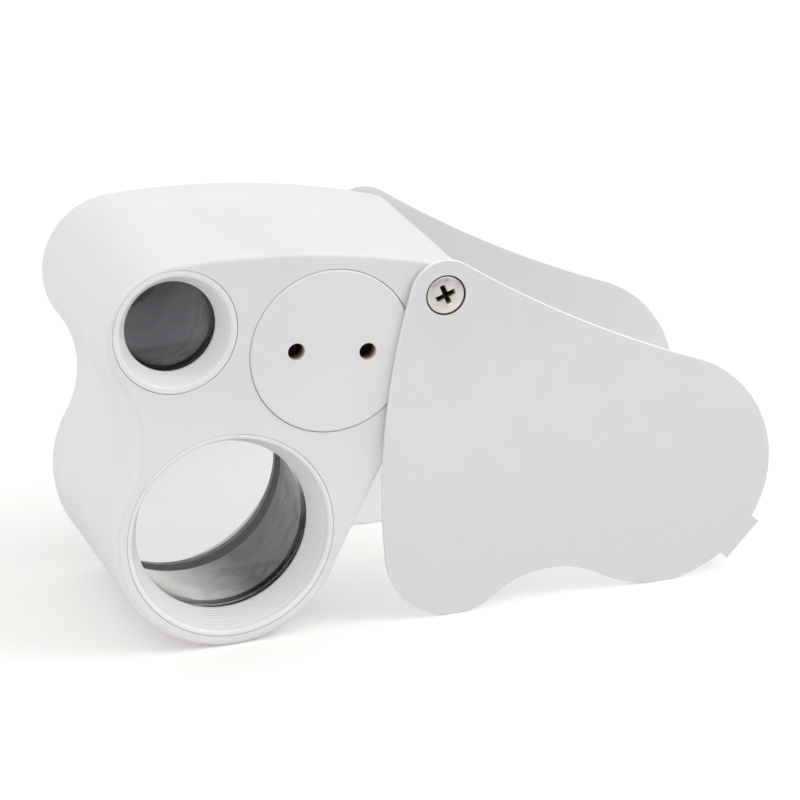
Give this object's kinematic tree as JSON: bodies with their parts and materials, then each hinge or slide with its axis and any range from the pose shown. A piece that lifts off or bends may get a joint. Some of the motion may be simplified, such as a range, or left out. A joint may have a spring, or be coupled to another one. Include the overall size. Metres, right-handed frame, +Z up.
{
  "type": "folding loupe",
  "caption": "Twin-lens lighted pocket loupe with a moulded body that swings out of a U-shaped sheet-metal cover and stands open on it.",
  "frame": {"origin": "on the floor, in the middle of the open loupe's length and depth", "axes": "+X from the lens body to the cover, +Y away from the eye along the lens axes, +Z up"},
  "size_m": [0.0866, 0.034, 0.0509],
  "materials": {
    "housing_white": "satin moulded ABS",
    "ring_white": "satin moulded ABS",
    "cap_white": "satin moulded ABS",
    "barrel_grey": "turned, semi-bright",
    "barrel_dark": "dark anodised",
    "lens_glass": "polished",
    "cover_silver": "fine satin silver",
    "screw_nickel": "nickel plated",
    "post_brass": "machined",
    "washer_nylon": "plain nylon",
    "sleeve_black": "plain",
    "cell_steel": "bright nickel-plated steel",
    "contact_brass": "rolled strip",
    "board_green": "solder mask",
    "led_clear": "clear epoxy",
    "resistor_black": "plain",
    "pin_black": "plain"
  },
  "bodies": {
    "lens_body": {"housing_shell": "housing_white", "back_panel": "housing_white", "large_eyepiece_ring": "ring_white", "small_eyepiece_ring": "ring_white", "large_lens_spacer": "barrel_grey", "large_barrel": "barrel_dark", "small_barrel": "barrel_dark", "small_lens_spacer": "barrel_dark", "large_retaining_ring": "barrel_dark", "small_retaining_ring": "barrel_dark", "large_eye_lens": "lens_glass", "large_rear_lens": "lens_glass", "small_eye_lens": "lens_glass", "small_rear_lens": "lens_glass", "pivot_screws": "screw_nickel", "pivot_post": "post_brass", "pivot_washers": "washer_nylon", "battery_sleeve": "sleeve_black", "button_cell_front": "cell_steel", "button_cell_middle": "cell_steel", "button_cell_rear": "cell_steel", "cell_spring": "contact_brass", "contact_strip": "contact_brass", "switch_leaf": "contact_brass", "circuit_board": "board_green", "large_lens_led": "led_clear", "small_lens_led": "led_clear", "series_resistor": "resistor_black"},
    "cap": {"battery_cap": "cap_white", "cap_contact": "contact_brass"},
    "cover": {"folding_cover": "cover_silver"},
    "switch_pin": {"switch_pin": "pin_black"}
  },
  "joints": [
    {"name": "cover_swing", "type": "hinge", "parent": "lens_body", "child": "cover", "pos_m": [0.00018, 0, 0.04261], "axis": [0, 1, 0], "continuous": true},
    {"name": "cap_turn", "type": "hinge", "parent": "lens_body", "child": "cap", "pos_m": [-0.01452, -0.016, 0.03706], "axis": [0, 1, 0], "range_deg": [-60, 0]},
    {"name": "switch_press", "type": "slide", "parent": "lens_body", "child": "switch_pin", "axis": [0, -1, 0], "range_m": [0, 0.0004], "stiffness_N_per_m": 800, "springref_m": -0.0004}
  ]
}
